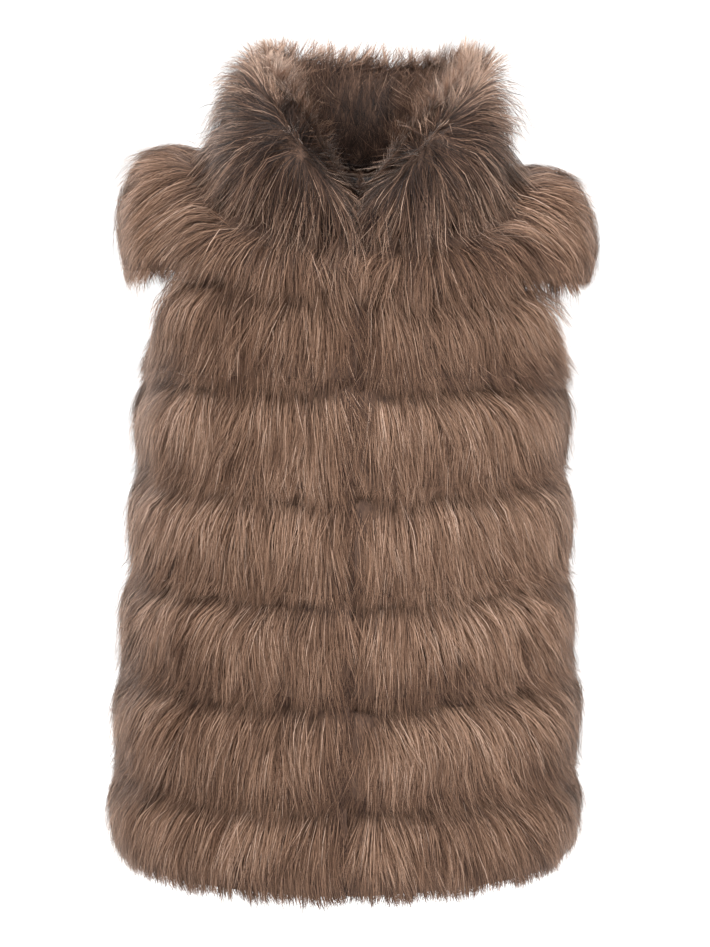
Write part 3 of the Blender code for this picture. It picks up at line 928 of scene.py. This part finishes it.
def ribbons(name, stations, normals, shares, twist, width, tone, material):
    """Tapered ribbons along the stations, with tone and length along the hair on their map."""
    count, steps = stations.shape[:2]
    corners = 2 * steps - 1
    points = np.empty((count, corners, 3))
    shading = np.empty((count, corners, 3))
    chart = np.empty((count, corners, 2))
    widths = np.ones(steps)
    widths[0] = ROOT_WIDTH
    if steps >= LAST_WIDTH_POINTS:
        widths[-2] = LAST_WIDTH
    widths[-1] = 0
    tone = np.clip(tone, TONE_LEAST, 1 - TONE_LEAST)
    for step in range(steps):
        tangent = unit(stations[:, min(step + 1, steps - 1)] - stations[:, max(step - 1, 0)])
        lane = unit(np.cross(tangent, normals[:, step]))
        over = np.cross(lane, tangent)
        lane = lane * np.cos(twist) + over * np.sin(twist)
        facing = np.cross(lane, tangent)
        shaded = unit(normals[:, step] * NORMAL_OF_FACE + facing * (1 - NORMAL_OF_FACE))
        half = lane * (width * widths[step] / 2)[:, None]
        for edge, sign in enumerate((-1, 1) if step < steps - 1 else (0,)):
            corner = 2 * step + edge
            points[:, corner] = stations[:, step] + sign * half
            shading[:, corner] = shaded
            chart[:, corner, 0] = tone + sign * TONE_HALF_WIDTH
            chart[:, corner, 1] = shares[step]
    loop = []
    starts = []
    for step in range(steps - 2):
        starts.append(len(loop))
        loop += [2 * step, 2 * step + 1, 2 * step + 3, 2 * step + 2]
    starts.append(len(loop))
    loop += [corners - 3, corners - 2, corners - 1]
    loops = (np.arange(count)[:, None] * corners + np.array(loop)).reshape(-1)
    begin = (np.arange(count)[:, None] * len(loop) + np.array(starts)).reshape(-1)

    mesh = bpy.data.meshes.new(name)
    mesh.vertices.add(count * corners)
    mesh.vertices.foreach_set("co", points.reshape(-1))
    mesh.loops.add(len(loops))
    mesh.loops.foreach_set("vertex_index", loops.astype(np.int32))
    mesh.polygons.add(len(begin))
    mesh.polygons.foreach_set("loop_start", begin.astype(np.int32))
    mesh.polygons.foreach_set("use_smooth", np.ones(len(begin), dtype=bool))
    mesh.update(calc_edges=True)
    layer = mesh.uv_layers.new(name="OFBake")
    layer.data.foreach_set("uv", chart.reshape(-1, 2)[loops].reshape(-1))
    mesh.normals_split_custom_set_from_vertices(shading.reshape(-1, 3))
    return placed(name, mesh, material)


def underfur(name):
    """The node's own form drawn in under the hair, smoothed once. At the closing it laps the other front."""
    points, triangles = SOLIDS[name]
    drawn = points - NORMALS[name] * DEPTHS[name][:, None]
    if fur_kind(name) == "band":
        aside = from_closing(points)
        edge = (np.abs(aside) < CLOSING_EDGE) & (points[:, 1] < 0)
        drawn[edge, 0] -= np.sign(aside[edge]) * CLOSING_LAP
    made = mesh_object(f"underfur_{name}", drawn, triangles, UNDERFUR)
    smooth = made.modifiers.new("smooth", "SUBSURF")
    smooth.levels = smooth.render_levels = 1
    return made


def skin(name):
    """The pelt's skin, with its area and length: the node's face against the lining or other collar layer."""
    points, triangles = SOLIDS[name]
    centres, _, areas = face_facts(points, triangles)
    against = [OTHER_LAYER[name]] if name in OTHER_LAYER else LININGS
    back = (distances(centres, against) < TOUCHING) & ~BARE[name]
    if name in OTHER_LAYER:
        back &= under_high_edge(centres, points) > SKIN_UNDER_RIDGE
    used, faces = np.unique(triangles[back], return_inverse=True)
    normals = smooth_normals(points, triangles, back)[used]
    made = mesh_object(f"skin_{name}", points[used] + normals * SKIN_OUT, faces.reshape(-1, 3), SKIN)
    wall = made.modifiers.new("wall", "SOLIDIFY")
    wall.thickness = SKIN_WALL
    wall.offset = -1
    return made, areas[back].sum(), np.ptp(points[used][:, 2])


def lining(name):
    """A lining panel or the label, with its area and length: the solid's own form, divided finer."""
    points, triangles = SOLIDS[name]
    made = mesh_object(f"satin_{name}", points, triangles, WOVEN if name == LABEL else SATIN)
    finer = made.modifiers.new("finer", "SUBSURF")
    finer.subdivision_type = "SIMPLE"
    finer.levels = finer.render_levels = 1
    _, _, areas = face_facts(points, triangles)
    return made, areas.sum() / 2, np.ptp(points[:, 2])


for number, node in enumerate(FUR_NODES):
    under = underfur(node)
    hairs = hair(node, number)
    back, back_area, back_length = skin(node)
    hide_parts(node)
for node in LININGS + [LABEL]:
    cloth, cloth_area, cloth_length = lining(node)
    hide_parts(node)

# Camera, from the photograph's frame of 710 by 947 and its scale on the vest's middle plane.
METRES_PER_PIXEL = 0.00092
IMAGE_HEIGHT = 947
LOOK_AT = Vector((0.005, 0.0, -0.293))
CAMERA_DISTANCE = 3.0
CAMERA_ELEVATION = math.radians(6)
camera_data = bpy.data.cameras.new("camera")
camera_data.sensor_fit = "VERTICAL"
camera_data.angle = 2 * math.atan(IMAGE_HEIGHT * METRES_PER_PIXEL / 2 / CAMERA_DISTANCE)
camera = bpy.data.objects.new("camera", camera_data)
camera.location = LOOK_AT + CAMERA_DISTANCE * Vector(
    (0, -math.cos(CAMERA_ELEVATION), math.sin(CAMERA_ELEVATION))
)
camera.rotation_euler = (math.pi / 2 - CAMERA_ELEVATION, 0, 0)
bpy.context.scene.collection.objects.link(camera)
bpy.context.scene.camera = camera

# Stage: one pale, faintly glowing sheet, floor and backdrop in one bend.
FLOOR_HEIGHT = -1.05
STAGE_HALF_WIDTH = 9.0
STAGE_FRONT = -7.0
STAGE_BEND_START = 3.0
STAGE_BEND_RADIUS = 2.0
STAGE_TOP = 6.0
STAGE_COLOUR = (0.90, 0.90, 0.90, 1)
STAGE_ROUGHNESS = 0.9
STAGE_GLOW = 0.42
BEND_STEPS = 12
WHITE = (1, 1, 1, 1)
profile = [(STAGE_FRONT, FLOOR_HEIGHT)]
for step in range(BEND_STEPS + 1):
    bend = math.pi / 2 * step / BEND_STEPS
    bend_y = STAGE_BEND_START + STAGE_BEND_RADIUS * math.sin(bend)
    bend_z = FLOOR_HEIGHT + STAGE_BEND_RADIUS * (1 - math.cos(bend))
    profile.append((bend_y, bend_z))
profile.append((STAGE_BEND_START + STAGE_BEND_RADIUS, STAGE_TOP))
stage_points = [(x, y, z) for y, z in profile for x in (-STAGE_HALF_WIDTH, STAGE_HALF_WIDTH)]
stage_faces = [(2 * i, 2 * i + 1, 2 * i + 3, 2 * i + 2) for i in range(len(profile) - 1)]
stage_mesh = bpy.data.meshes.new("floor")
stage_mesh.from_pydata(stage_points, [], stage_faces)
stage_material, _, stage_shader = new_material("floor")
stage_shader.inputs["Base Color"].default_value = STAGE_COLOUR
stage_shader.inputs["Roughness"].default_value = STAGE_ROUGHNESS
stage_shader.inputs["Emission Color"].default_value = WHITE
stage_shader.inputs["Emission Strength"].default_value = STAGE_GLOW
stage_mesh.materials.append(stage_material)
stage_object = bpy.data.objects.new("floor", stage_mesh)
bpy.context.scene.collection.objects.link(stage_object)

# Lights: name, place, size and power in watts, each aimed at the vest's middle.
Lamp = namedtuple("Lamp", "name place size power")
LAMPS = (
    Lamp("key", (-0.8, -1.8, 2.2), 1.4, 105),
    Lamp("fill", (1.8, -2.0, 0.9), 1.8, 68),
    Lamp("top", (0.3, 1.0, 2.2), 1.6, 60),
    Lamp("left_rim", (-2.2, 1.0, 0.5), 1.4, 45),
    Lamp("right_rim", (2.2, 1.0, 0.5), 1.4, 8),
)
WORLD_STRENGTH = 0.26
for lamp in LAMPS:
    light = bpy.data.lights.new(lamp.name, "AREA")
    light.shape = "DISK"
    light.size = lamp.size
    light.energy = lamp.power
    shown = bpy.data.objects.new(lamp.name, light)
    shown.location = lamp.place
    shown.rotation_euler = (LOOK_AT - Vector(lamp.place)).to_track_quat("-Z", "Y").to_euler()
    bpy.context.scene.collection.objects.link(shown)
world = bpy.data.worlds.new("world")
world.use_nodes = True
world.node_tree.nodes["Background"].inputs["Color"].default_value = WHITE
world.node_tree.nodes["Background"].inputs["Strength"].default_value = WORLD_STRENGTH
bpy.context.scene.world = world
bpy.context.scene.view_settings.view_transform = "Standard"
